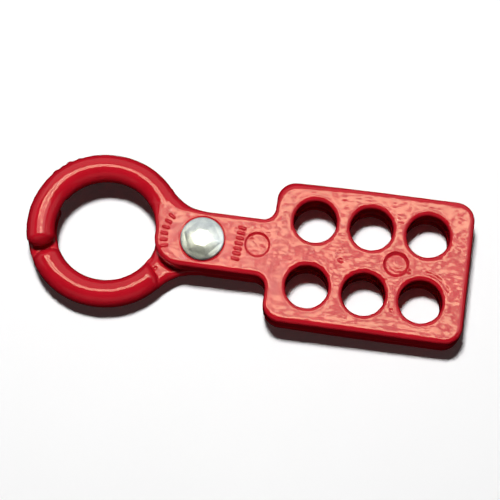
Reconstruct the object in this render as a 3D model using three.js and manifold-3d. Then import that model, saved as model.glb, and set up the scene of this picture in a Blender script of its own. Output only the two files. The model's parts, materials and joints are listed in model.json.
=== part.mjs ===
// Lockout hasp: two identical coated castings, one turned over, joined by one pivot rivet.
// Units are millimetres. +X runs from the jaw to the end of the handle, +Z is up, and the
// origin is at the bottom centre of the whole object, which lies with its front face up.

import * as THREE from 'three';
import { mergeVertices } from 'three/addons/utils/BufferGeometryUtils.js';
import Module from 'manifold-3d';

const wasm = await Module();
wasm.setup();

// ---------------------------------------------------------------- driving dimensions

// Jaw: a round bar bent into a ring, half of it on each casting
const JAW_INNER_R = 12.7;          // 1 in clear opening
const BAR_R = 3.5;                 // radius of the jaw bar
const JAW_TO_PIVOT = 24.9;
const TIP_ANGLE = 193;             // degrees round the ring where the bar's rounded tip is centred
const SHOULDER_ANGLE = 153.5;      // degrees where the bar is stepped down for the other tip
const STEP_R = 14.5;               // clearance round the pivot, swept by the other half's end

// Neck and handle plate
const PIVOT_TO_GRID = 42.2;        // pivot to the centre of the six holes
const GRID_TO_END = 25.64;         // centre of the six holes to the end of the handle
const HANDLE_LENGTH = 50.4;
const HANDLE_HALF_WIDTH = 18.48;
const HANDLE_CORNER_R = 4.7;
const NECK_HALF_WIDTH = 7.45;
const NECK_FILLET_R = 3.15;        // inside corner between neck and handle
const FLANK_R = 14.5;              // hollow curve from the neck to the back of the jaw
const LOBE_R = 7.3;                // rounded corner of the pivot end
const PLATE_THICKNESS = 4.9;       // one half, coating included
const EDGE_ROUND = 0.8;

// Padlock holes
const HOLE_R = 5.5;
const HOLE_PITCH_X = 14.4;
const HOLE_PITCH_Y = 17.1;

// Coating and running gaps
const COAT_THICKNESS = 0.7;
const COAT_TO_CORE = 0.2;          // gap between the skin's inside and the casting
const SEAM = 0.2;                  // gap between the two halves

// Pivot rivet and washer
const SHANK_R = 3.0;
const BORE_CLEARANCE = 0.05;
const HEAD_R = 5.6;
const HEAD_EDGE = 0.35;            // thickness of the head at its rim
const HEAD_DOME = 1.15;            // rise of the dome above the rim
const FACE_GAP = 0.05;
const TAIL_R = 4.4;
const TAIL_HEIGHT = 1.1;
const WASHER_R = 5.5;
const WASHER_THICKNESS = 0.8;

// Fineness of round shapes
const RING_SEGMENTS = 48;
const BAR_SEGMENTS = 12;
const ARC_STEP = 15;               // degrees between the points of an outline's round stretches
const RIVET_SEGMENTS = 32;
const SAME_POINT = 0.001;          // points of an outline closer than this are one point

// ---------------------------------------------------------------- derived positions

const JAW_OUTER_R = JAW_INNER_R + 2 * BAR_R;
const JAW_MID_R = JAW_INNER_R + BAR_R;
const LENGTH = JAW_OUTER_R + JAW_TO_PIVOT + PIVOT_TO_GRID + GRID_TO_END;
const JAW_X = JAW_OUTER_R - LENGTH / 2;
const PIVOT_X = JAW_X + JAW_TO_PIVOT;
const GRID_X = PIVOT_X + PIVOT_TO_GRID;
const HANDLE_RIGHT = GRID_X + GRID_TO_END;
const HANDLE_LEFT = HANDLE_RIGHT - HANDLE_LENGTH;

const BACK_FACE_Z = TAIL_HEIGHT + WASHER_THICKNESS + 2 * FACE_GAP;
const SEAM_Z = BACK_FACE_Z + PLATE_THICKNESS + SEAM / 2;
const FRONT_FACE_Z = SEAM_Z + SEAM / 2 + PLATE_THICKNESS;
// the bar's top stands this far above the plate's face
const BAR_PROUD = 0.1;
const BAR_Z = SEAM / 2 + PLATE_THICKNESS + BAR_PROUD - BAR_R;

const FLANK_CENTRE_Y = NECK_HALF_WIDTH + FLANK_R;
const FLANK_CENTRE_X = JAW_X + Math.sqrt((JAW_OUTER_R + FLANK_R) ** 2 - FLANK_CENTRE_Y ** 2);
const FLANK_ANGLE = THREE.MathUtils.radToDeg(Math.atan2(FLANK_CENTRE_Y, FLANK_CENTRE_X - JAW_X));
const LOBE_CENTRE_Y = LOBE_R - NECK_HALF_WIDTH;
const LOBE_CENTRE_X = JAW_X + Math.sqrt((JAW_INNER_R + LOBE_R) ** 2 - LOBE_CENTRE_Y ** 2);
const LOBE_ANGLE = THREE.MathUtils.radToDeg(Math.atan2(LOBE_CENTRE_Y, LOBE_CENTRE_X - JAW_X));

const degrees = THREE.MathUtils.degToRad;

// ---------------------------------------------------------------- solids and joins

// A closed three.js geometry as a solid that can be joined and cut.
function solid(geometry) {
  const bare = geometry.index ? geometry.toNonIndexed() : geometry.clone();
  bare.deleteAttribute('normal');
  bare.deleteAttribute('uv');
  const merged = mergeVertices(bare, 1e-4);
  return new wasm.Manifold(new wasm.Mesh({
    numProp: 3,
    vertProperties: merged.attributes.position.array,
    triVerts: new Uint32Array(merged.index.array),
  }));
}

// The solid's surface as a three.js geometry.
function surface(body) {
  const mesh = body.getMesh();
  const geometry = new THREE.BufferGeometry();
  geometry.setAttribute('position', new THREE.BufferAttribute(new Float32Array(mesh.vertProperties), 3));
  geometry.setIndex(new THREE.BufferAttribute(new Uint32Array(mesh.triVerts), 1));
  geometry.computeVertexNormals();
  return geometry;
}

function uprightCylinder(x, y, radius, bottom, top, segments) {
  const geometry = new THREE.CylinderGeometry(radius, radius, top - bottom, segments);
  geometry.rotateX(Math.PI / 2);
  geometry.translate(x, y, (bottom + top) / 2);
  return solid(geometry);
}

// Adds a round stretch to an outline, from one angle to another (in degrees), at a steady step.
function addArc(points, x, y, radius, from, to) {
  const steps = Math.ceil(Math.abs(to - from) / ARC_STEP);
  for (let i = 0; i <= steps; i++) {
    const angle = degrees(from + (to - from) * i / steps);
    const point = new THREE.Vector2(x + radius * Math.cos(angle), y + radius * Math.sin(angle));
    const last = points.at(-1);
    if (!last || last.distanceTo(point) > SAME_POINT) {
      points.push(point);
    }
  }
}

// A slice of the ring between two angles in degrees, from one height to another.
function ringSlice(from, to, bottom, top) {
  const reach = JAW_OUTER_R * 1.5;
  const corners = [new THREE.Vector2(JAW_X, 0)];
  addArc(corners, JAW_X, 0, reach, from, to);
  const geometry = new THREE.ExtrudeGeometry(new THREE.Shape(corners), {
    depth: top - bottom,
    bevelEnabled: false,
  });
  geometry.translate(0, 0, bottom);
  return solid(geometry);
}

// ---------------------------------------------------------------- one half of the hasp

// Every function below takes an inset: 0 gives the outside of the coating, and a larger
// value gives the same shape with each of its faces moved inwards by that much.

function plateOutline(inset) {
  const neckFillet = NECK_FILLET_R + inset;
  const corner = HANDLE_CORNER_R - inset;
  const filletX = HANDLE_LEFT - NECK_FILLET_R;
  const filletY = NECK_HALF_WIDTH + NECK_FILLET_R;
  const cornerLeft = HANDLE_LEFT + HANDLE_CORNER_R;
  const cornerRight = HANDLE_RIGHT - HANDLE_CORNER_R;
  const cornerY = HANDLE_HALF_WIDTH - HANDLE_CORNER_R;
  // the plate ends inside the bar, along a slanting line between these two angles
  const endInner = 22 - THREE.MathUtils.radToDeg(inset / JAW_INNER_R);
  const endOuter = FLANK_ANGLE - 180 + THREE.MathUtils.radToDeg(inset / FLANK_R);

  const points = [];
  addArc(points, filletX, -filletY, neckFillet, 90, 0);
  addArc(points, cornerLeft, -cornerY, corner, 180, 270);
  addArc(points, cornerRight, -cornerY, corner, 270, 360);
  addArc(points, cornerRight, cornerY, corner, 0, 90);
  addArc(points, cornerLeft, cornerY, corner, 90, 180);
  addArc(points, filletX, filletY, neckFillet, 0, -90);
  addArc(points, FLANK_CENTRE_X, FLANK_CENTRE_Y, FLANK_R + inset, -90, endOuter);
  addArc(points, JAW_X, 0, JAW_INNER_R + inset, endInner, LOBE_ANGLE);
  addArc(points, LOBE_CENTRE_X, LOBE_CENTRE_Y, LOBE_R - inset, 180 + LOBE_ANGLE, 270);
  const outline = new THREE.Shape(points);

  for (const column of [-1, 0, 1]) {
    for (const row of [-1, 1]) {
      const rim = [];
      const x = GRID_X + column * HOLE_PITCH_X;
      addArc(rim, x, row * HOLE_PITCH_Y / 2, HOLE_R + inset, 360, ARC_STEP);
      outline.holes.push(new THREE.Path(rim));
    }
  }
  return outline;
}

function plate(inset) {
  // an edge that has been moved in this far is nearly sharp
  const round = inset < COAT_THICKNESS ? EDGE_ROUND - inset : 0;
  const geometry = new THREE.ExtrudeGeometry(plateOutline(inset), {
    depth: PLATE_THICKNESS - 2 * inset - 2 * round,
    bevelEnabled: round > 0,
    bevelThickness: round,
    bevelSize: round,
    bevelOffset: -round,
    bevelSegments: 1,
  });
  geometry.translate(0, 0, SEAM / 2 + inset + round);
  return solid(geometry);
}

// The half ring of round bar, with a rounded tip.
function jawBar(inset) {
  const radius = BAR_R - inset;
  const section = [];
  for (let i = 0; i <= BAR_SEGMENTS; i++) {
    const turn = 2 * Math.PI * i / BAR_SEGMENTS;
    section.push(new THREE.Vector2(JAW_MID_R + radius * Math.cos(turn), radius * Math.sin(turn)));
  }
  const ring = new THREE.LatheGeometry(section, RING_SEGMENTS);
  ring.rotateX(Math.PI / 2);
  ring.translate(JAW_X, 0, BAR_Z);

  const tip = new THREE.SphereGeometry(radius, BAR_SEGMENTS, BAR_SEGMENTS / 2);
  tip.rotateX(Math.PI / 2);
  const tipAngle = degrees(TIP_ANGLE);
  tip.rotateZ(tipAngle);
  tip.translate(JAW_X + JAW_MID_R * Math.cos(tipAngle), JAW_MID_R * Math.sin(tipAngle), BAR_Z);

  const rootAngle = 25;
  const arc = solid(ring).intersect(ringSlice(rootAngle, TIP_ANGLE, -2 * BAR_R, 2 * BAR_R));
  return arc.add(solid(tip));
}

// The whole half, lying on the mating plane at height 0 with its outer face up.
function half(inset) {
  const below = -3 * BAR_R;
  const matingZ = SEAM / 2 + inset;
  const shoulder = SHOULDER_ANGLE - THREE.MathUtils.radToDeg(inset / JAW_MID_R);
  const pastTip = TIP_ANGLE + 40;
  const pivotStep = uprightCylinder(PIVOT_X, 0, STEP_R + inset, below, matingZ, RING_SEGMENTS);
  const tipStep = ringSlice(shoulder, pastTip, below, matingZ);
  return jawBar(inset).subtract(pivotStep).subtract(tipStep).add(plate(inset));
}

function pivotBore() {
  const past = 4 * PLATE_THICKNESS;
  return uprightCylinder(PIVOT_X, 0, SHANK_R + BORE_CLEARANCE, -past, past, RIVET_SEGMENTS);
}

function core() {
  return surface(half(COAT_THICKNESS + COAT_TO_CORE).subtract(pivotBore()));
}

function coating() {
  return surface(half(0).subtract(half(COAT_THICKNESS)).subtract(pivotBore()));
}

// ---------------------------------------------------------------- rivet and washer

function rivet() {
  const headBottom = FRONT_FACE_Z + FACE_GAP;
  const headSteps = 5;
  const tailSteps = 3;
  const profile = [new THREE.Vector2(0, 0)];
  // tail: a low dome from its centre out to its rim
  for (let i = 1; i <= tailSteps; i++) {
    const turn = Math.PI / 2 * i / tailSteps;
    profile.push(new THREE.Vector2(TAIL_R * Math.sin(turn), TAIL_HEIGHT * 0.75 * (1 - Math.cos(turn))));
  }
  profile.push(new THREE.Vector2(TAIL_R, TAIL_HEIGHT));
  profile.push(new THREE.Vector2(SHANK_R, TAIL_HEIGHT));
  profile.push(new THREE.Vector2(SHANK_R, headBottom));
  profile.push(new THREE.Vector2(HEAD_R, headBottom));
  for (let i = 0; i < headSteps; i++) {
    const turn = Math.PI / 2 * i / headSteps;
    const height = headBottom + HEAD_EDGE + HEAD_DOME * Math.sin(turn);
    profile.push(new THREE.Vector2(HEAD_R * Math.cos(turn), height));
  }
  profile.push(new THREE.Vector2(0, headBottom + HEAD_EDGE + HEAD_DOME));
  const geometry = new THREE.LatheGeometry(profile, RIVET_SEGMENTS);
  geometry.rotateX(Math.PI / 2);
  geometry.translate(PIVOT_X, 0, 0);
  return geometry;
}

function washer() {
  const bottom = TAIL_HEIGHT + FACE_GAP;
  const inner = SHANK_R + 2 * BORE_CLEARANCE;
  const profile = [
    new THREE.Vector2(inner, bottom),
    new THREE.Vector2(WASHER_R, bottom),
    new THREE.Vector2(WASHER_R, bottom + WASHER_THICKNESS),
    new THREE.Vector2(inner, bottom + WASHER_THICKNESS),
    new THREE.Vector2(inner, bottom),
  ];
  const geometry = new THREE.LatheGeometry(profile, RIVET_SEGMENTS);
  geometry.rotateX(Math.PI / 2);
  geometry.translate(PIVOT_X, 0, 0);
  return geometry;
}

// ---------------------------------------------------------------- assembly

const redCoating = new THREE.MeshStandardMaterial({ color: 0xbe1628, roughness: 0.25, metalness: 0 });
const castMetal = new THREE.MeshStandardMaterial({ color: 0x9a9a98, roughness: 0.6, metalness: 1 });
const zincPlate = new THREE.MeshStandardMaterial({ color: 0xc9ced0, roughness: 0.3, metalness: 1 });

function piece(name, geometry, material) {
  const mesh = new THREE.Mesh(geometry, material);
  mesh.name = name;
  return mesh;
}

const frontHalf = new THREE.Group();
frontHalf.add(piece('front_jaw_core', core(), castMetal));
frontHalf.add(piece('front_jaw_coating', coating(), redCoating));
frontHalf.position.z = SEAM_Z;

const backHalf = new THREE.Group();
backHalf.add(piece('back_jaw_core', core(), castMetal));
backHalf.add(piece('back_jaw_coating', coating(), redCoating));
backHalf.position.z = SEAM_Z;
backHalf.rotation.x = Math.PI;

const hasp = new THREE.Group();
hasp.add(frontHalf);
hasp.add(backHalf);
hasp.add(piece('pivot_rivet', rivet(), zincPlate));
hasp.add(piece('rivet_washer', washer(), zincPlate));

export default hasp;
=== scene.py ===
"""Looks of a lockout hasp: two red dip-coated castings that turn on one zinc-plated rivet.

Lengths are in millimetres until a mesh or an object is made. Each half is worked out in its own
frame: x and y as in the row, z measured up from the seam between the halves, outer face up.
The back half is the same casting turned over about the x axis.
"""

import json
import math

import bmesh
import bpy
import numpy as np
import openvdb
from mathutils import Matrix, Vector


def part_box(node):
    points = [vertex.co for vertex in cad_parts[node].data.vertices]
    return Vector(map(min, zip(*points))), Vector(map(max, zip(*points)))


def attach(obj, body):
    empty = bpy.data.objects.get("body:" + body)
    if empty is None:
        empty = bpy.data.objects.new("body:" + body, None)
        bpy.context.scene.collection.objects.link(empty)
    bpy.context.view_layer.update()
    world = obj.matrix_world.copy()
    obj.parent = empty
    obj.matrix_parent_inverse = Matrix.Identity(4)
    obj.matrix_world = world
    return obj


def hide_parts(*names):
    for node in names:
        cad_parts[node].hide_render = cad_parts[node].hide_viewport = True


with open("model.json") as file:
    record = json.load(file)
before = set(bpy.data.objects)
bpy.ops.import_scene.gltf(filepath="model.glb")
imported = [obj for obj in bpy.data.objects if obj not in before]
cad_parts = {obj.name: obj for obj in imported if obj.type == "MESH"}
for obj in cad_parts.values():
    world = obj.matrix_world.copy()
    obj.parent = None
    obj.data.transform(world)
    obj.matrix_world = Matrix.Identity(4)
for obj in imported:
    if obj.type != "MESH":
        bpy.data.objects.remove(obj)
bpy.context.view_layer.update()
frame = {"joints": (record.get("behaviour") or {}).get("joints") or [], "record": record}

MM = 0.001
AIR = 0.05                   # space left between neighbouring pieces

# ---------------------------------------------------------------- places taken from the frame

OPENINGS = frame["record"]["physics"]["openings"]


def opening_centre(name):
    """The centre of one of the record's openings, in millimetres, seen from above."""
    low, high = next(o["box_m"] for o in OPENINGS if o["name"] == name)
    return (low[0] + high[0]) / 2 / MM, (low[1] + high[1]) / 2 / MM


PIVOT_X, PIVOT_Y, SEAM_Z = (v / MM for v in frame["joints"][0]["pos_m"])
JAW_X = opening_centre("jaw_opening")[0]
HOLES = [opening_centre(o["name"]) for o in OPENINGS if o["name"].startswith("padlock_hole")]
COATING_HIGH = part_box("front_jaw_coating")[1] / MM
RIVET_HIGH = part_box("pivot_rivet")[1] / MM
WASHER_LOW, WASHER_HIGH = (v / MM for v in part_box("rivet_washer"))
BACK_FACE_Z = WASHER_HIGH.z + AIR

# ---------------------------------------------------------------- sizes of one half

BAR_R = 3.5                  # the round bar that the jaw is made of
BAR_PROUD = 0.1              # how far the bar stands above the plate's face
BAR_SWELL = 0.18             # how much thicker the bar grows towards its tip
JAW_INNER_R = 12.7
JAW_MID_R = JAW_INNER_R + BAR_R
JAW_OUTER_R = JAW_INNER_R + 2 * BAR_R
RING_STRETCH = 0.75          # how much longer than round the ring is, away from the pivot
TIP_ANGLE = 194.2            # degrees round the ring where the upper tip's cap starts
SHOULDER_ANGLE = 146.3       # the same for the lower part, which stops short
ROOT_ANGLE = 27              # where the bar grows out of the plate
CAP_LENGTH = 2.4             # how far a domed end bulges past the angle where it starts
STEP_R = 14.5                # clearance round the pivot for the other half
STEP_ROUND = 2.0
SHOULDER_OVERLAP = 8         # degrees by which the full round bar stops before the shoulder's end
TONGUE_EDGE = 0.35           # rounding of the flat inner side of the upper part
TONGUE_ROUND = 1.1           # extra rounding of that side near the tip
TONGUE_DIP = 0.9             # how far that side falls away towards the shoulder

HANDLE_RIGHT = COATING_HIGH.x
HANDLE_LENGTH = 50.4
HANDLE_LEFT = HANDLE_RIGHT - HANDLE_LENGTH
HANDLE_HALF_WIDTH = 18.48
HANDLE_CORNER_R = 4.7
NECK_HALF_WIDTH = 7.45
NECK_FILLET_R = 3.15
FLANK_R = 14.5
LOBE_R = 7.3
HOLE_R = 5.5

HALF_SEAM = 0.1              # half of the gap between the two halves
PLATE_TOP = SEAM_Z - BACK_FACE_Z
RIVET_HEAD_R = RIVET_HIGH.x - PIVOT_X
BAR_Z = PLATE_TOP + BAR_PROUD - BAR_R
OUTER_ROUND = 1.1            # rounding of the plate's outer edge
RIM_ROUND = 1.0              # rounding of the padlock holes' rims
MATING_ROUND = 0.5           # rounding of the edges at the seam
ROOT_MATING_ROUND = 1.3      # extra rounding of those edges where the bar grows out of the plate
LAP_ROUND = 2.5              # extra rounding of the lap face where it runs out to the jaw's inside
DRAFT = math.tan(math.radians(1.2))
CORE_DEPTH = 0.95            # from the skin's outer face down to the bare casting
BORE_R = 3.05

FLANK_Y = NECK_HALF_WIDTH + FLANK_R
FLANK_X = JAW_X + math.sqrt((JAW_OUTER_R + FLANK_R) ** 2 - FLANK_Y ** 2)
ROOT_TURN = math.atan2(FLANK_Y, FLANK_X - JAW_X)
LOBE_Y = LOBE_R - NECK_HALF_WIDTH
LOBE_X = JAW_X + math.sqrt((JAW_INNER_R + LOBE_R) ** 2 - LOBE_Y ** 2)

CELL = 0.3                   # size of the grid that the halves are first meshed on
CORE_CELL = 0.6
GRID_LOW = (-58.5, -20.9, -2.9)
GRID_HIGH = (57.6, 20.9, 6.2)

# ---------------------------------------------------------------- places of the marks

MARK_1 = (2.4, 0.45)         # ejector-pin mark on the neck
MARK_1_R = 3.3
MARK_2 = (37.8, 0.15)        # ejector-pin mark on the handle
MARK_2_R = 3.2
MARK_2_CRESCENT = (38.3, 0.7)
MARK_2_PIT = (41.3, -1.3)
SMALL_RING = (23.3, 0.95)
DIMPLE = (23.8, -0.5)
EDGE_PIT = (37.95, -11.84)
LAP_PIT = (-22.8, 8.0)
ARC_MARK_R = 7.4             # a shallow arc beside the last padlock hole
LETTERING_X = -2.3           # middle of the row of strokes on the neck
LETTERING_STEP = 1.36
LOBE_LETTERING_R = 9.8       # distance from the pivot of the strokes on the pivot end
STROKE_HALF_WIDTH = 0.3
# each bump's angle round the ring in degrees, and its size
FLASH_BUMPS = ((118, 0.7), (126, 1.0), (131.5, 0.75), (138, 0.9), (147, 0.5))


# ---------------------------------------------------------------- distance fields

def round_union(a, b, radius):
    """Two shapes joined, with their inside corner filled to this radius."""
    corner = np.hypot(np.maximum(radius - a, 0), np.maximum(radius - b, 0))
    return np.maximum(radius, np.minimum(a, b)) - corner


def round_cut(a, b, radius):
    """What two shapes share, with their outside corner rounded to this radius."""
    corner = np.hypot(np.maximum(radius + a, 0), np.maximum(radius + b, 0))
    return np.minimum(-radius, np.maximum(a, b)) + corner


def soft_union(a, b, width):
    """Two shapes joined, with their inside corner softened where both are about this near."""
    near = np.maximum(width - np.abs(a - b), 0) / width
    return np.minimum(a, b) - near * near * width / 4


def smooth_step(value, start, end):
    """0 at the start, 1 at the end and smooth between them. The end may be the lower one."""
    t = np.clip((value - start) / (end - start), 0, 1)
    return t * t * (3 - 2 * t)


def distance_to(x, y, centre):
    """Distance from a place, seen from above."""
    return np.hypot(x - centre[0], y - centre[1])


def handle_outline(x, y):
    """A rectangle with round corners."""
    qx = np.abs(x - (HANDLE_LEFT + HANDLE_RIGHT) / 2) - HANDLE_LENGTH / 2 + HANDLE_CORNER_R
    qy = np.abs(y) - HANDLE_HALF_WIDTH + HANDLE_CORNER_R
    outside = np.hypot(np.maximum(qx, 0), np.maximum(qy, 0))
    return outside + np.minimum(np.maximum(qx, qy), 0) - HANDLE_CORNER_R


def neck_outline(x, y):
    """The neck and the rounded pivot end, which runs into the bar along a slanting line."""
    from_jaw = np.hypot(x - JAW_X, y)
    lobe = np.hypot(x - LOBE_X, y - LOBE_Y) - LOBE_R
    lower = np.where(x < LOBE_X, lobe, -y - NECK_HALF_WIDTH)
    left = np.where(y > LOBE_Y, JAW_INNER_R - from_jaw, lower)
    flank = FLANK_R - np.hypot(x - FLANK_X, y - FLANK_Y)
    upper = np.where(x > FLANK_X, y - NECK_HALF_WIDTH, flank)
    end = math.cos(ROOT_TURN) * y - math.sin(ROOT_TURN) * (x - JAW_X)
    inside_handle = x - HANDLE_LEFT - 2 * NECK_FILLET_R
    return np.maximum.reduce([left, upper, -y - NECK_HALF_WIDTH, end, inside_handle])


def face_outline(x, y):
    """How far a point is outside the plate's edge, and how far inside one of its holes."""
    edge = round_union(handle_outline(x, y), neck_outline(x, y), NECK_FILLET_R)
    rims = np.full_like(edge, -HANDLE_HALF_WIDTH)
    for hole_x, hole_y in HOLES:
        rims = np.maximum(rims, HOLE_R - distance_to(x, y, (hole_x, hole_y)))
    return edge, rims


def plate(x, y, z):
    """The flat part. Towards the root of the bar its edges grow as round as the bar itself."""
    edge, rims = face_outline(x, y)
    outline = np.maximum(edge, rims) - (PLATE_TOP - z) * DRAFT
    turn = np.degrees(np.arctan2(y, x - JAW_X))
    from_jaw = np.hypot(x - JAW_X, y)
    outer_side = smooth_step(from_jaw, JAW_INNER_R + 2, JAW_OUTER_R)
    root = smooth_step(turn, 16, 40) * (1 - outer_side) + smooth_step(turn, 14, 25) * outer_side
    edge_round = OUTER_ROUND + (BAR_R - 0.1 - OUTER_ROUND) * root
    top_round = np.where(rims > edge, RIM_ROUND, edge_round)
    on_lap = smooth_step(turn, 3, 12) * (1 - smooth_step(from_jaw, JAW_OUTER_R, JAW_OUTER_R + 4))
    lap_round = LAP_ROUND * on_lap * (1 - 0.6 * outer_side)
    mating_round = MATING_ROUND + np.maximum(ROOT_MATING_ROUND * root, lap_round)
    top = round_cut(outline, z - PLATE_TOP - BAR_PROUD * root, top_round)
    return np.maximum(top, round_cut(outline, HALF_SEAM - z, mating_round))


def bar(x, y, z, end_angle):
    """A ring of round bar with domed ends, from the plate round to an angle in degrees."""
    angle = np.mod(np.degrees(np.arctan2(y, x - JAW_X)) + 83, 360) - 83
    radial = np.hypot(x - JAW_X, y) - JAW_MID_R
    past = np.radians(np.maximum(np.maximum(angle - end_angle, ROOT_ANGLE - angle), 0)) * JAW_MID_R
    distance = np.sqrt(radial ** 2 + (z - BAR_Z) ** 2 + (past * BAR_R / CAP_LENGTH) ** 2)
    return distance - BAR_R - BAR_SWELL * smooth_step(angle, 60, 150)


def stretch(x):
    """How much further from the pivot the ring lies at this place than a round one would."""
    return RING_STRETCH * smooth_step(-x, 25, 50)


def body(x, y, z):
    """One half without its pivot bore, its casting marks and the ripple of its coating."""
    x = x + stretch(x)
    before_far_side = np.degrees(np.arctan2(y, JAW_X - x))
    tongue_side = HALF_SEAM + TONGUE_DIP * smooth_step(before_far_side, 12, 31)
    tongue_round = TONGUE_EDGE + TONGUE_ROUND * smooth_step(np.abs(before_far_side), 48, 36)
    upper = round_cut(bar(x, y, z, TIP_ANGLE), tongue_side - z, tongue_round)
    step = STEP_R - np.hypot(x - PIVOT_X, y - PIVOT_Y)
    lower = round_cut(bar(x, y, z, SHOULDER_ANGLE), step, STEP_ROUND)
    lower = np.maximum(lower, z - HALF_SEAM - STEP_ROUND)
    full = np.maximum(bar(x, y, z, SHOULDER_ANGLE - SHOULDER_OVERLAP), step + STEP_ROUND)
    return np.minimum(np.minimum(upper, full), soft_union(lower, plate(x, y, z), 0.5))


def pivot_bore(x, y):
    return BORE_R - np.hypot(x - PIVOT_X, y - PIVOT_Y)


def smooth_half(x, y, z):
    """One half with its bore, and still without relief."""
    return np.maximum(body(x, y, z), pivot_bore(x, y))


def casting_core(x, y, z):
    """The bare casting under the coating."""
    return np.maximum(body(x, y, z) + CORE_DEPTH, pivot_bore(x, y))


# ---------------------------------------------------------------- relief of the coating

def lumps(x, y, z, size, seed):
    """Smooth random values from -1 to 1 that change over the given sizes, the same every run."""
    shape = (64, 64, 16)
    lattice = np.random.default_rng(seed).uniform(-1, 1, shape)
    cells = []
    for value, step, count in zip((x, y, z), size, shape):
        place = value / step + 40.5
        low = np.floor(place)
        part = place - low
        low = low.astype(int)
        cells.append((low % count, (low + 1) % count, part * part * (3 - 2 * part)))
    total = 0
    for i in (0, 1):
        for j in (0, 1):
            for k in (0, 1):
                weight = 1
                for pick, (_, _, part) in zip((i, j, k), cells):
                    weight = weight * (part if pick else 1 - part)
                total = total + weight * lattice[cells[0][i], cells[1][j], cells[2][k]]
    return total


def trench(distance, width):
    """1 on a line and falling smoothly to 0 at a few widths from it."""
    return np.exp(-(distance / width) ** 2)


def ripple(x, y, z, seed):
    """The uneven skin left by dipping, calmer on the bar than on the plate."""
    on_plate = 0.55 + 0.45 * smooth_step(x, JAW_X + 13, JAW_X + 20)
    broad = lumps(x, y, z, (2.4, 2.0, 2.5), seed) * 0.026
    middle = lumps(x, y, z, (1.3, 1.0, 1.4), seed + 1) * 0.027
    fine = lumps(x, y, z, (0.8, 0.65, 0.8), seed + 2) * 0.014
    calm_edge = 0.5 + 0.5 * smooth_step(-face_outline(x, y)[0], 0.6, 2.6)
    on_plate = np.minimum(on_plate, np.where(x > LOBE_X, calm_edge, 1))
    return on_plate * (broad + middle + fine) - lip(x, y, z)


def lip(x, y, z):
    """The low bead that the coating builds up beside the edges of the flat face."""
    edge, rims = face_outline(x, y)
    bead = trench(edge + 1.75, 0.38) + trench(rims + 1.65, 0.35)
    on_face = smooth_step(z, PLATE_TOP - 1.2, PLATE_TOP - 0.6)
    return 0.013 * bead * on_face * smooth_step(x, PIVOT_X + 3, PIVOT_X + 9)


def flash(x, y, z):
    """Small bumps left by the mould's parting line on the outer side of the upper jaw."""
    height = 0
    for turn, size in FLASH_BUMPS:
        angle = math.radians(turn)
        bump_x = JAW_X + JAW_OUTER_R * math.cos(angle)
        bump_x = bump_x - stretch(bump_x)
        bump_y = JAW_OUTER_R * math.sin(angle)
        away = np.sqrt((x - bump_x) ** 2 + (y - bump_y) ** 2 + (z - BAR_Z) ** 2 * 0.5)
        height = height + 0.75 * size * trench(away, 0.85 * size)
    return height


def ring_groove(x, y, centre, radius, width):
    """1 on a circle, falling away sharply to both sides."""
    distance = distance_to(x, y, centre) - radius
    return np.exp(-np.sqrt(distance ** 2 + 0.004) / width)


def stroke(x, y, centre, turn, half_length, half_width):
    """1 on a short straight stroke, falling to 0 beside it."""
    across_x = x - centre[0]
    across_y = y - centre[1]
    along = across_x * math.cos(turn) + across_y * math.sin(turn)
    beside = across_y * math.cos(turn) - across_x * math.sin(turn)
    away = np.hypot(np.maximum(np.abs(along) - half_length, 0), beside)
    return 1 - smooth_step(away, half_width * 0.4, half_width * 1.6)


def plain_strokes(x, y):
    """Raised strokes that stand for the cast lettering, without any letters."""
    height = 0
    for i in range(7):
        centre = (LETTERING_X + 0.12 * (i - 3), 0.1 + LETTERING_STEP * (i - 3))
        height = np.maximum(height, stroke(x, y, centre, -0.1, 0.7, STROKE_HALF_WIDTH))
    for i in range(6):
        turn = math.radians(150 + 9.6 * i)
        centre = (PIVOT_X + LOBE_LETTERING_R * math.cos(turn), LOBE_LETTERING_R * math.sin(turn))
        height = np.maximum(height, stroke(x, y, centre, turn, 0.65, STROKE_HALF_WIDTH))
    return height


def front_marks(x, y, z):
    """How deep the front half is cut by marks and pits, less what stands out of it."""
    from_first = distance_to(x, y, MARK_1)
    depth = 0.34 * (1 - smooth_step(from_first, MARK_1_R - 0.55, MARK_1_R + 0.05))
    in_first = 1 - smooth_step(from_first, 2.2, 2.8)
    slant = (x - MARK_1[0]) * 0.5 + (y - MARK_1[1]) * 0.87
    depth = depth - 0.07 * in_first * trench(slant, 0.95)

    from_second = distance_to(x, y, MARK_2)
    depth = depth + 0.65 * (1 - smooth_step(from_second, MARK_2_R - 0.6, MARK_2_R + 0.15))
    crescent = trench(distance_to(x, y, MARK_2_CRESCENT) - 1.9, 0.6) * smooth_step(-y, -0.6, 0.9)
    depth = depth + 0.08 * crescent
    depth = depth + 0.16 * trench(distance_to(x, y, MARK_2_PIT), 0.45)

    depth = depth + 0.07 * ring_groove(x, y, SMALL_RING, 1.1, 0.18)
    dimple = trench(distance_to(x, y, DIMPLE), 0.55) * smooth_step(-y, 0.2, 0.6)
    depth = depth + 0.28 * dimple
    depth = depth + 0.3 * trench(distance_to(x, y, EDGE_PIT), 0.28)

    hole_x, hole_y = HOLES[-1]
    turn = np.degrees(np.arctan2(y - hole_y, x - hole_x))
    on_arc = smooth_step(turn, 15, 35) * smooth_step(-turn, -100, -80)
    arc_mark = on_arc * trench(distance_to(x, y, HOLES[-1]) - ARC_MARK_R, 0.35)
    depth = depth + 0.1 * arc_mark
    depth = depth - 0.26 * plain_strokes(x, y)
    from_pivot = np.hypot(x - PIVOT_X, y - PIVOT_Y)
    depth = depth + 0.22 * trench(from_pivot - RIVET_HEAD_R + 0.05, 0.25)
    depth = depth * smooth_step(z, PLATE_TOP - 1.6, PLATE_TOP - 0.9)
    return depth - flash(x, y, z) + rub_mark(x, y, z)


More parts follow.
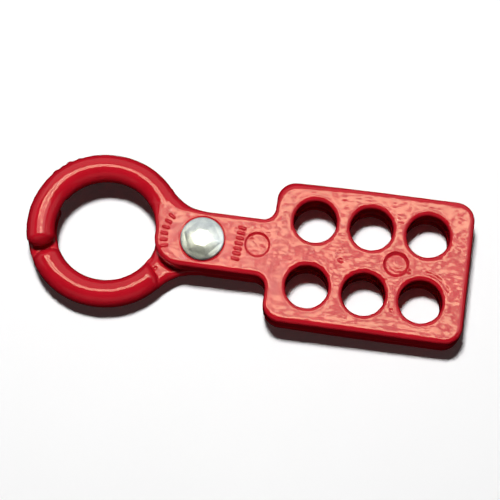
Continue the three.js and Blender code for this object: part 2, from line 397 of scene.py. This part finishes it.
def rub_mark(x, y, z):
    """The shallow dip in a half's lap face along the edge of the other half's pivot end."""
    outside = neck_outline(x, -y)
    dip = smooth_step(outside, 1.6, -0.8) * smooth_step(outside, -3, -1.2)
    on_lap = smooth_step(y, 2, 4) * smooth_step(PIVOT_X - x, 2, 5)
    return 0.46 * dip * on_lap * (1 - smooth_step(z, 0.8, 1.5))


def back_marks(x, y, z):
    """How deep the back half is cut by two plain ejector-pin marks, and by its lap's pit and dip."""
    depth = 0.16 * (1 - smooth_step(np.hypot(x - MARK_1[0], y), MARK_1_R - 0.35, MARK_1_R))
    depth = depth + 0.3 * (1 - smooth_step(np.hypot(x - MARK_2[0], y), MARK_2_R - 0.55, MARK_2_R))
    on_lap = 1 - smooth_step(z, 0.8, 1.4)
    pit = 0.6 * trench(distance_to(x, y, LAP_PIT), 0.34) * on_lap
    return depth * smooth_step(z, PLATE_TOP - 1.6, PLATE_TOP - 0.9) + pit + rub_mark(x, y, z)


# ---------------------------------------------------------------- meshes

def grid_surface(field, cell):
    """Points and faces of a field's zero surface on a plain grid, in the half's own frame."""
    axes = [np.arange(low, high, cell) for low, high in zip(GRID_LOW, GRID_HIGH)]
    x, y, z = np.meshgrid(*axes, indexing="ij")
    grid = openvdb.FloatGrid(background=3.0)
    grid.copyFromArray(field(x, y, z).astype(np.float32))
    points, triangles, quads = grid.convertToPolygons(isovalue=0.0, adaptivity=0.0)
    points = np.asarray(points, float) * cell + np.array(GRID_LOW)
    faces = [list(f) for f in quads] + [list(f) for f in triangles]
    if signed_volume(points, faces) < 0:
        faces = [f[::-1] for f in faces]
    return points, faces


def settle(points, field, rounds=4):
    """Moves grid points onto the zero surface of a finer field."""
    reach = 0.02
    least_steep = 0.25
    for _ in range(rounds):
        value = field(*points.T)
        slope = np.empty_like(points)
        for axis in range(3):
            shift = np.zeros(3)
            shift[axis] = reach
            rise = field(*(points + shift).T) - field(*(points - shift).T)
            slope[:, axis] = rise / (2 * reach)
        steep = np.maximum((slope ** 2).sum(1), least_steep)
        move = slope * (value / steep)[:, None]
        points = points - np.clip(move, -CELL, CELL)
    return points


def finer(points, faces, wanted):
    """The same surface with every edge between two wanted points cut in half."""
    shape = bmesh.new()
    corners = [shape.verts.new(p) for p in points]
    shape.verts.index_update()
    for face in faces:
        shape.faces.new([corners[i] for i in face])
    cut = [e for e in shape.edges if wanted[e.verts[0].index] and wanted[e.verts[1].index]]
    bmesh.ops.subdivide_edges(shape, edges=cut, cuts=1, use_grid_fill=True)
    shape.verts.index_update()
    new_points = np.array([v.co for v in shape.verts], float)
    new_faces = [[v.index for v in f.verts] for f in shape.faces]
    shape.free()
    return new_points, new_faces


def new_object(name, points, faces, material):
    """A smooth-shaded mesh object in the scene, from points in metres."""
    mesh = bpy.data.meshes.new(name)
    mesh.from_pydata([tuple(p) for p in points], [], [tuple(f) for f in faces])
    mesh.update()
    mesh.polygons.foreach_set("use_smooth", [True] * len(mesh.polygons))
    mesh.materials.append(material)
    obj = bpy.data.objects.new(name, mesh)
    bpy.context.scene.collection.objects.link(obj)
    return obj


def signed_volume(points, faces):
    """Six times the enclosed volume, below zero if the faces look inwards."""
    total = 0.0
    for face in faces:
        a, b, c = (points[face[i]] for i in (0, 1, 2))
        total += np.dot(a, np.cross(b, c))
        if len(face) == 4:
            total += np.dot(a, np.cross(c, points[face[3]]))
    return total


def row_place(points, turned_over):
    """Points of a half's own frame in the row frame, in metres."""
    side = -1 if turned_over else 1
    return (points * [1, side, side] + [0, 0, SEAM_Z]) * MM


def near_marks(x, y, z, turned_over):
    """Which points lie near small marks and need a finer mesh."""
    near = np.zeros(len(x), bool)
    for centre in (MARK_1, MARK_2):
        near |= distance_to(x, y, centre) < 4.3
    if not turned_over:
        near |= (np.abs(x - LETTERING_X) < 2.2) & (np.abs(y) < 5.8)
        near |= (np.abs(np.hypot(x - PIVOT_X, y) - LOBE_LETTERING_R) < 1.6) & (x < PIVOT_X - 7)
    near &= z > PLATE_TOP - 1
    if turned_over:
        near |= (distance_to(x, y, LAP_PIT) < 1.3) & (z < 1)
    return near


def coated_half(name, marks, seed, turned_over, material):
    """One half as it is seen, with the marks and the ripple in its mesh."""
    def field(x, y, z):
        return smooth_half(x, y, z) + marks(x, y, z) + ripple(x, y, z, seed)

    points, faces = grid_surface(smooth_half, CELL)
    wanted = near_marks(*points.T, turned_over)
    points, faces = finer(settle(points, smooth_half, 2), faces, wanted)
    points = settle(points, field)
    return new_object(name, row_place(points, turned_over), faces, material)


def bare_casting(name, turned_over, material):
    """The metal inside one half, which the coating hides."""
    points, faces = grid_surface(casting_core, CORE_CELL)
    points = settle(points, casting_core, 2)
    return new_object(name, row_place(points, turned_over), faces, material)


def lathe(name, profile, segments, wobble, material):
    """A closed turned piece about the pivot. A profile point on the axis becomes one point."""
    points = []
    rings = []
    for radius, height in profile:
        ring = []
        count = 1 if radius == 0 else segments
        for i in range(count):
            turn = 2 * math.pi * i / segments
            x = radius * math.cos(turn)
            y = radius * math.sin(turn)
            ring.append(len(points))
            points.append((PIVOT_X + x, PIVOT_Y + y, height + wobble(x, y, height)))
        rings.append(ring)
    # a profile that comes back to its first point is joined there
    if rings[0] != rings[-1] and profile[0] == profile[-1]:
        points = points[:-len(rings[-1])]
        rings[-1] = rings[0]
    faces = []
    for lower, upper in zip(rings, rings[1:]):
        for i in range(segments):
            j = (i + 1) % segments
            if len(lower) == 1:
                faces.append([lower[0], upper[j], upper[i]])
            elif len(upper) == 1:
                faces.append([lower[i], lower[j], upper[0]])
            else:
                faces.append([lower[i], lower[j], upper[j], upper[i]])
    return new_object(name, np.array(points) * MM, faces, material)


def arc_profile(centre, radius, start, end, steps):
    """Points of a round edge in a profile, from one angle to another in degrees."""
    points = []
    for i in range(steps + 1):
        turn = math.radians(start + (end - start) * i / steps)
        points.append((centre[0] + radius * math.cos(turn), centre[1] + radius * math.sin(turn)))
    return points


def dome_profile(radius, bottom, top, steps):
    """Points of a low spherical dome from its edge in to the axis."""
    rise = top - bottom
    ball = (radius ** 2 + rise ** 2) / (2 * rise)
    points = []
    for i in range(steps + 1):
        place = radius * (1 - i / steps)
        points.append((place, top - ball + math.sqrt(ball ** 2 - place ** 2)))
    return points


# ---------------------------------------------------------------- materials

def node_material(name):
    material = bpy.data.materials.new(name)
    material.use_nodes = True
    return material, material.node_tree.nodes, material.node_tree.links


def noise(nodes, links, place, scale, detail, roughness=0.5):
    node = nodes.new("ShaderNodeTexNoise")
    node.inputs["Scale"].default_value = scale
    node.inputs["Detail"].default_value = detail
    node.inputs["Roughness"].default_value = roughness
    links.new(place, node.inputs["Vector"])
    return node


def spread(nodes, links, source, low, high):
    """A value that follows a noise's middle range from low to high."""
    node = nodes.new("ShaderNodeMapRange")
    node.inputs["From Min"].default_value = 0.3
    node.inputs["From Max"].default_value = 0.7
    node.inputs["To Min"].default_value = low
    node.inputs["To Max"].default_value = high
    links.new(source, node.inputs["Value"])
    return node.outputs["Result"]


def colour_mix(nodes, links, factor, first, second):
    node = nodes.new("ShaderNodeMix")
    node.data_type = "RGBA"
    links.new(factor, node.inputs["Factor"])
    node.inputs[6].default_value = (*first, 1)
    node.inputs[7].default_value = (*second, 1)
    return node.outputs[2]


def bump(nodes, links, height, distance, strength):
    node = nodes.new("ShaderNodeBump")
    node.inputs["Distance"].default_value = distance
    node.inputs["Strength"].default_value = strength
    links.new(height, node.inputs["Height"])
    return node.outputs["Normal"]


def red_coating():
    """Glossy dipped plastic with a faint fine grain, a little drawn out along the hasp."""
    material, nodes, links = node_material("red_coating")
    shader = nodes["Principled BSDF"]
    place = nodes.new("ShaderNodeTexCoord").outputs["Object"]
    cloud = noise(nodes, links, place, 160, 4)
    colour = colour_mix(nodes, links, spread(nodes, links, cloud.outputs["Fac"], 0, 1),
                        (0.45, 0.005, 0.014), (0.52, 0.008, 0.020))
    links.new(colour, shader.inputs["Base Color"])
    sheen = noise(nodes, links, place, 420, 5)
    links.new(spread(nodes, links, sheen.outputs["Fac"], 0.09, 0.14), shader.inputs["Roughness"])
    drawn_out = nodes.new("ShaderNodeMapping")
    drawn_out.inputs["Scale"].default_value = (0.5, 1, 1)
    links.new(place, drawn_out.inputs["Vector"])
    skin = noise(nodes, links, drawn_out.outputs["Vector"], 1000, 1)
    links.new(bump(nodes, links, skin.outputs["Fac"], 0.00002, 1), shader.inputs["Normal"])
    shader.inputs["IOR"].default_value = 1.5
    return material


def zinc_plate():
    """Satin plating, cloudy in colour."""
    material, nodes, links = node_material("zinc_plate")
    shader = nodes["Principled BSDF"]
    place = nodes.new("ShaderNodeTexCoord").outputs["Object"]
    cloud = noise(nodes, links, place, 350, 6, 0.75)
    colour = colour_mix(nodes, links, spread(nodes, links, cloud.outputs["Fac"], 0, 1),
                        (0.46, 0.56, 0.62), (0.76, 0.87, 0.94))
    links.new(colour, shader.inputs["Base Color"])
    grain = noise(nodes, links, place, 900, 5)
    links.new(spread(nodes, links, grain.outputs["Fac"], 0.28, 0.38), shader.inputs["Roughness"])
    links.new(bump(nodes, links, grain.outputs["Fac"], 0.000006, 0.25), shader.inputs["Normal"])
    shader.inputs["Metallic"].default_value = 1
    return material


def cast_metal():
    """The grainy surface of a raw casting."""
    material, nodes, links = node_material("cast_metal")
    shader = nodes["Principled BSDF"]
    place = nodes.new("ShaderNodeTexCoord").outputs["Object"]
    grain = noise(nodes, links, place, 2500, 8)
    colour = colour_mix(nodes, links, spread(nodes, links, grain.outputs["Fac"], 0, 1),
                        (0.42, 0.42, 0.41), (0.6, 0.6, 0.59))
    links.new(colour, shader.inputs["Base Color"])
    links.new(spread(nodes, links, grain.outputs["Fac"], 0.5, 0.7), shader.inputs["Roughness"])
    links.new(bump(nodes, links, grain.outputs["Fac"], 0.0001, 0.5), shader.inputs["Normal"])
    shader.inputs["Metallic"].default_value = 1
    return material


RED = red_coating()
ZINC = zinc_plate()
METAL = cast_metal()

# ---------------------------------------------------------------- the object

FACET_TURNS = (35, 88, 140, 200, 262, 318)
SHANK_R = 3.0
SHANK_STEP = 0.4             # spacing of the mesh rings along the shank
TAIL_R = 4.4
EDGE_R = 0.3                 # radius of the rivet's rims


def rivet_profile(head_bottom):
    """Half a section through the rivet, from the middle of its tail up to the middle of its head."""
    tail_top = WASHER_LOW.z - AIR
    tail_height = 0.38
    tail_rise = 0.35
    tail = dome_profile(TAIL_R - EDGE_R, 0, tail_rise, 14)
    profile = [(place, tail_height - height) for place, height in tail[::-1]]
    profile += arc_profile((TAIL_R - EDGE_R, tail_height + EDGE_R), EDGE_R, -90, 0, 5)[1:]
    profile += [(TAIL_R, tail_top - 0.1), (TAIL_R - 0.1, tail_top), (SHANK_R, tail_top)]
    shank = [(SHANK_R, tail_top + SHANK_STEP * i) for i in range(1, 27)]
    profile += [point for point in shank if point[1] < head_bottom - 0.1]
    profile += [(SHANK_R, head_bottom), (RIVET_HEAD_R - 0.12, head_bottom)]
    rim = (RIVET_HEAD_R - EDGE_R, head_bottom + EDGE_R)
    profile += arc_profile(rim, EDGE_R, -60, 66, 10)
    dome_r = RIVET_HEAD_R - 0.24
    dome_bottom = head_bottom + 0.78
    profile += dome_profile(dome_r, dome_bottom, RIVET_HIGH.z - 0.02, 46)
    profile[0] = (0, profile[0][1])
    profile[-1] = (0, profile[-1][1])
    return profile


def rivet():
    """One piece: a low domed head, the shank, and a tail set over the washer."""
    head_bottom = 2 * SEAM_Z - BACK_FACE_Z + AIR
    facets = [(math.cos(turn), math.sin(turn)) for turn in map(math.radians, FACET_TURNS)]

    def hammered(x, y, height):
        """Dents and the edges of flat facets on the dome."""
        if height < head_bottom + 0.6:
            return 0
        spot = np.array(x), np.array(y), np.array(0.0)
        broad = lumps(*spot, (2.6, 2.0, 2.0), 5) * 0.02
        fine = lumps(*spot, (1.1, 1.1, 1.1), 6) * 0.007
        near_middle = 1 - min(math.hypot(x, y) / RIVET_HEAD_R, 1) ** 4
        across = max(x * facet_x + y * facet_y for facet_x, facet_y in facets)
        return near_middle * float(broad + fine) - 0.09 * min(max(across - 2.1, 0), 2.0)

    return lathe("rivet", rivet_profile(head_bottom), 144, hammered, ZINC)


def washer():
    """A flat ring with rounded outer edges and bevelled inner ones."""
    inner = 3.1
    outer = WASHER_HIGH.x - PIVOT_X
    low, high = WASHER_LOW.z, WASHER_HIGH.z
    edge = 0.12
    profile = [(inner + edge, low), (outer - edge, low)]
    profile += arc_profile((outer - edge, low + edge), edge, -90, 0, 4)[1:]
    profile += arc_profile((outer - edge, high - edge), edge, 0, 90, 4)
    profile += [(inner + edge, high), (inner, high - edge)]
    profile += [(inner, low + edge), (inner + edge, low)]
    return lathe("washer", profile, 144, lambda x, y, height: 0, ZINC)


front = coated_half("front_jaw", front_marks, 11, False, RED)
back = coated_half("back_jaw", back_marks, 47, True, RED)
front_core = bare_casting("front_core", False, METAL)
back_core = bare_casting("back_core", True, METAL)
pivot_rivet = rivet()
rivet_washer = washer()

PIECES = [
    (front, "front_half", "front_jaw_coating", "red_coating"),
    (front_core, "front_half", "front_jaw_core", "cast_metal"),
    (back, "back_half", "back_jaw_coating", "red_coating"),
    (back_core, "back_half", "back_jaw_core", "cast_metal"),
    (pivot_rivet, "back_half", "pivot_rivet", "zinc_plate"),
    (rivet_washer, "back_half", "rivet_washer", "zinc_plate"),
]
for piece, on_body, node, slot in PIECES:
    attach(piece, on_body)
    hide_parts(node)

# ---------------------------------------------------------------- floor, light and camera

def floor():
    """A pale table, tilted a little.

    The hasp lies on the rivet's tail and on the end of its handle, so that its face isn't quite
    level with the table.
    """
    material, nodes, links = node_material("table")
    shader = nodes["Principled BSDF"]
    place = nodes.new("ShaderNodeTexCoord").outputs["Object"]
    cloud = noise(nodes, links, place, 9, 3)
    colour = colour_mix(nodes, links, spread(nodes, links, cloud.outputs["Fac"], 0, 1),
                        (0.93, 0.93, 0.93), (0.95, 0.95, 0.95))
    links.new(colour, shader.inputs["Base Color"])
    away = nodes.new("ShaderNodeVectorMath")
    away.operation = "LENGTH"
    links.new(place, away.inputs[0])
    # the far part of the table glows a little, so that it stays as pale as the middle
    glow = nodes.new("ShaderNodeMapRange")
    glow.inputs["From Min"].default_value = 0.15
    glow.inputs["From Max"].default_value = 0.8
    glow.inputs["To Max"].default_value = 0.85
    links.new(away.outputs["Value"], glow.inputs["Value"])
    links.new(glow.outputs["Result"], shader.inputs["Emission Strength"])
    shader.inputs["Emission Color"].default_value = (1, 1, 1, 1)
    shader.inputs["Roughness"].default_value = 0.9
    shader.inputs["Specular IOR Level"].default_value = 0
    slope = BACK_FACE_Z / (HANDLE_RIGHT - PIVOT_X)
    reach = 3000
    steps = 24
    lowered = 0.02  # keeps the table just clear of the tail
    points = []
    faces = []
    for i in range(steps + 1):
        for j in range(steps + 1):
            x = reach * (2 * i / steps - 1)
            y = reach * (2 * j / steps - 1)
            points.append((x, y, (x - PIVOT_X) * slope - lowered))
    for i in range(steps):
        for j in range(steps):
            a = i * (steps + 1) + j
            faces.append([a, a + steps + 1, a + steps + 2, a + 1])
    return new_object("table", np.array(points) * MM, faces, material)


def light_panel(name, place, size, radiance, colour, target=None):
    """A rectangular light that shines straight down, or at a target.

    The radiance is the brightness of its surface, where 1 is the white of the picture.
    """
    light = bpy.data.lights.new(name, "AREA")
    light.shape = "RECTANGLE"
    light.size = size[0] * MM
    light.size_y = size[1] * MM
    light.color = colour
    light.energy = radiance * math.pi * light.size * light.size_y
    obj = bpy.data.objects.new(name, light)
    bpy.context.scene.collection.objects.link(obj)
    obj.location = Vector(place) * MM
    if target is not None:
        direction = Vector(target) - Vector(place)
        obj.rotation_euler = direction.to_track_quat("-Z", "Y").to_euler()
    return obj


def surroundings():
    """A dim room above, and from below the weak light that the table throws back."""
    world = bpy.data.worlds.new("room")
    world.use_nodes = True
    nodes, links = world.node_tree.nodes, world.node_tree.links
    place = nodes.new("ShaderNodeTexCoord")
    split = nodes.new("ShaderNodeSeparateXYZ")
    links.new(place.outputs["Generated"], split.inputs["Vector"])
    height = nodes.new("ShaderNodeMapRange")
    height.interpolation_type = "SMOOTHSTEP"
    height.inputs["From Min"].default_value = -0.05
    height.inputs["From Max"].default_value = 0.15
    height.inputs["To Min"].default_value = 0.1
    height.inputs["To Max"].default_value = 0.02
    links.new(split.outputs["Z"], height.inputs["Value"])
    links.new(height.outputs["Result"], nodes["Background"].inputs["Strength"])
    nodes["Background"].inputs["Color"].default_value = (1, 0.95, 0.97, 1)
    world.cycles_visibility.glossy = False
    bpy.context.scene.world = world


table = floor()
# the table's bounce light is kept off the hasp, so that its walls stay dark
table.visible_diffuse = False
table.visible_glossy = False
surroundings()

WHITE = (1, 1, 1)
WARM = (1, 0.84, 0.5)
NEUTRAL = (1, 0.95, 0.93)
CENTRE = (0, 0, 0)
key = light_panel("key", (-50, 140, 620), (92, 70), 225, WHITE)
key.visible_glossy = False
near_fill = light_panel("near_fill", (30, -700, 70), (900, 130), 1.4, NEUTRAL, CENTRE)
near_fill.visible_glossy = False
# these are only seen mirrored in the coating and the rivet
REFLECTED = [
    light_panel("softbox", (45, 152, 612), (720, 230), 2.0, NEUTRAL),
    light_panel("far_wall", (0, 1100, 800), (3200, 1300), 0.7, NEUTRAL, CENTRE),
    light_panel("left_wall", (-1100, 150, 500), (1200, 800), 0.4, NEUTRAL, CENTRE),
    light_panel("right_wall", (1100, 150, 500), (1200, 800), 0.4, NEUTRAL, CENTRE),
    light_panel("near_wall", (0, -1000, 560), (1800, 700), 0.18, NEUTRAL, CENTRE),
]
for i in range(2):
    strip_place = (-80, 80 + 112 * i, 606)
    REFLECTED.append(light_panel(f"strip_{i + 1}", strip_place, (440, 54), 10.5, WARM))
for panel in REFLECTED:
    panel.visible_diffuse = False

CAMERA_PLACE = (21.90, -103.0, 422.2)
CAMERA_RIGHT = (0.9900, 0.1402, -0.0162)
CAMERA_UP = (-0.1320, 0.9605, 0.2451)
camera_data = bpy.data.cameras.new("camera")
camera_data.sensor_width = 36
camera_data.lens = 120.48
camera_data.clip_start = 0.01
camera = bpy.data.objects.new("camera", camera_data)
bpy.context.scene.collection.objects.link(camera)
right = Vector(CAMERA_RIGHT).normalized()
up = Vector(CAMERA_UP)
up = (up - right * up.dot(right)).normalized()
turn = Matrix((right, up, right.cross(up))).transposed()
camera.matrix_world = Matrix.Translation(Vector(CAMERA_PLACE) * MM) @ turn.to_4x4()
bpy.context.scene.camera = camera
bpy.context.scene.view_settings.view_transform = "Standard"
